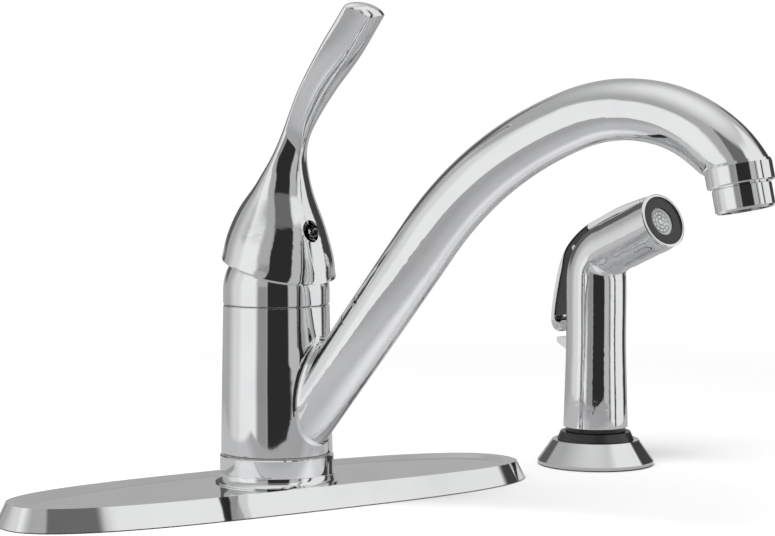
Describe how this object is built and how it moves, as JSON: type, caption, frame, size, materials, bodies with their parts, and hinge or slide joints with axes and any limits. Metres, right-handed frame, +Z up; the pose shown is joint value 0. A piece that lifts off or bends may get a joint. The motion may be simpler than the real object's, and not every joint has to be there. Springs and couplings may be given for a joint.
{
  "type": "kitchen faucet",
  "caption": "Deck-mounted single-lever kitchen faucet: long escutcheon plate, column with domed lever handle, swinging arched spout with aerator, and a separate side sprayer in its deck holder.",
  "frame": {"origin": "centre of the column on the top of the deck, which is also the centre between the two mounting studs", "axes": "+X along the plate towards the sprayer, -Y towards the user, +Z up"},
  "size_m": [0.3382, 0.2598, 0.2761],
  "materials": {
    "chrome": "polished chrome plating",
    "brass": "machined",
    "copper": "drawn copper tube",
    "stainless": "stainless steel",
    "zinc_steel": "zinc-plated steel",
    "rubber": "moulded, matt",
    "black_plastic": "moulded, semi-matt",
    "white_plastic": "acetal",
    "grey_plastic": "moulded rings"
  },
  "bodies": {
    "base": {"escutcheon_plate": "chrome", "deck_gasket": "rubber", "mounting_studs": "zinc_steel", "mounting_washers": "zinc_steel", "mounting_nuts": "zinc_steel", "valve_body": "brass", "supply_tubes": "copper", "supply_fittings": "brass", "spray_hose_nipple": "brass", "rubber_seats": "rubber", "seat_springs": "stainless", "spout_o_rings": "rubber", "base_ring": "chrome", "lower_glide_ring": "white_plastic", "upper_glide_ring": "white_plastic", "diverter_cartridge": "brass", "cam_packing": "rubber", "adjusting_ring": "brass", "bonnet_cap": "chrome", "holder_flange": "chrome", "holder_bush": "black_plastic", "holder_gasket": "rubber", "holder_nut": "black_plastic"},
    "diverter": {"diverter_plunger": "white_plastic", "diverter_spring": "stainless"},
    "cam": {"valve_cam": "white_plastic"},
    "handle": {"valve_ball": "stainless", "handle_lever": "chrome", "set_screw": "stainless"},
    "spout": {"spout": "chrome", "aerator_shell": "chrome", "aerator_insert": "white_plastic", "aerator_screen": "stainless", "aerator_washer": "rubber"},
    "sprayer": {"spray_body": "chrome", "trigger_pin": "stainless", "nozzle_ring": "black_plastic", "spray_disc": "grey_plastic", "sprayer_neck": "black_plastic", "hose_coupling": "brass"},
    "trigger": {"spray_trigger": "chrome", "trigger_liner": "black_plastic"},
    "spray_valve": {"spray_valve_stem": "stainless", "spray_valve_spring": "stainless"}
  },
  "joints": [
    {"name": "spout_swing", "type": "hinge", "parent": "base", "child": "spout", "pos_m": [0, 0, 0.05], "axis": [0, 0, 1], "range_deg": [-80, 40]},
    {"name": "handle_turn", "type": "hinge", "parent": "base", "child": "cam", "pos_m": [0, 0, 0.092], "axis": [0, 0, 1], "range_deg": [-54, 36]},
    {"name": "handle_lift", "type": "hinge", "parent": "cam", "child": "handle", "pos_m": [0, 0, 0.092], "axis": [-0.9877, -0.1564, 0], "range_deg": [0, 28]},
    {"name": "sprayer_lift", "type": "slide", "parent": "base", "child": "sprayer", "axis": [0, 0, 1], "range_m": [0, 0.06]},
    {"name": "trigger_press", "type": "hinge", "parent": "sprayer", "child": "trigger", "pos_m": [0.17939, 0.00697, 0.105], "axis": [-0.9962, -0.0872, 0], "range_deg": [0, 4.5], "stiffness_Nm_per_rad": 2, "springref_deg": -3.44},
    {"name": "spray_valve_slide", "type": "slide", "parent": "sprayer", "child": "spray_valve", "axis": [0.0872, -0.9962, 0], "range_m": [0, 0.0014]},
    {"name": "diverter_slide", "type": "slide", "parent": "base", "child": "diverter", "axis": [0, 1, 0], "range_m": [0, 0.0016]}
  ],
  "couplings": [
    {"joint": "spray_valve_slide", "follows": "trigger_press", "m_per_rad": 0.017},
    {"joint": "diverter_slide", "follows": "trigger_press", "m_per_rad": 0.02}
  ]
}
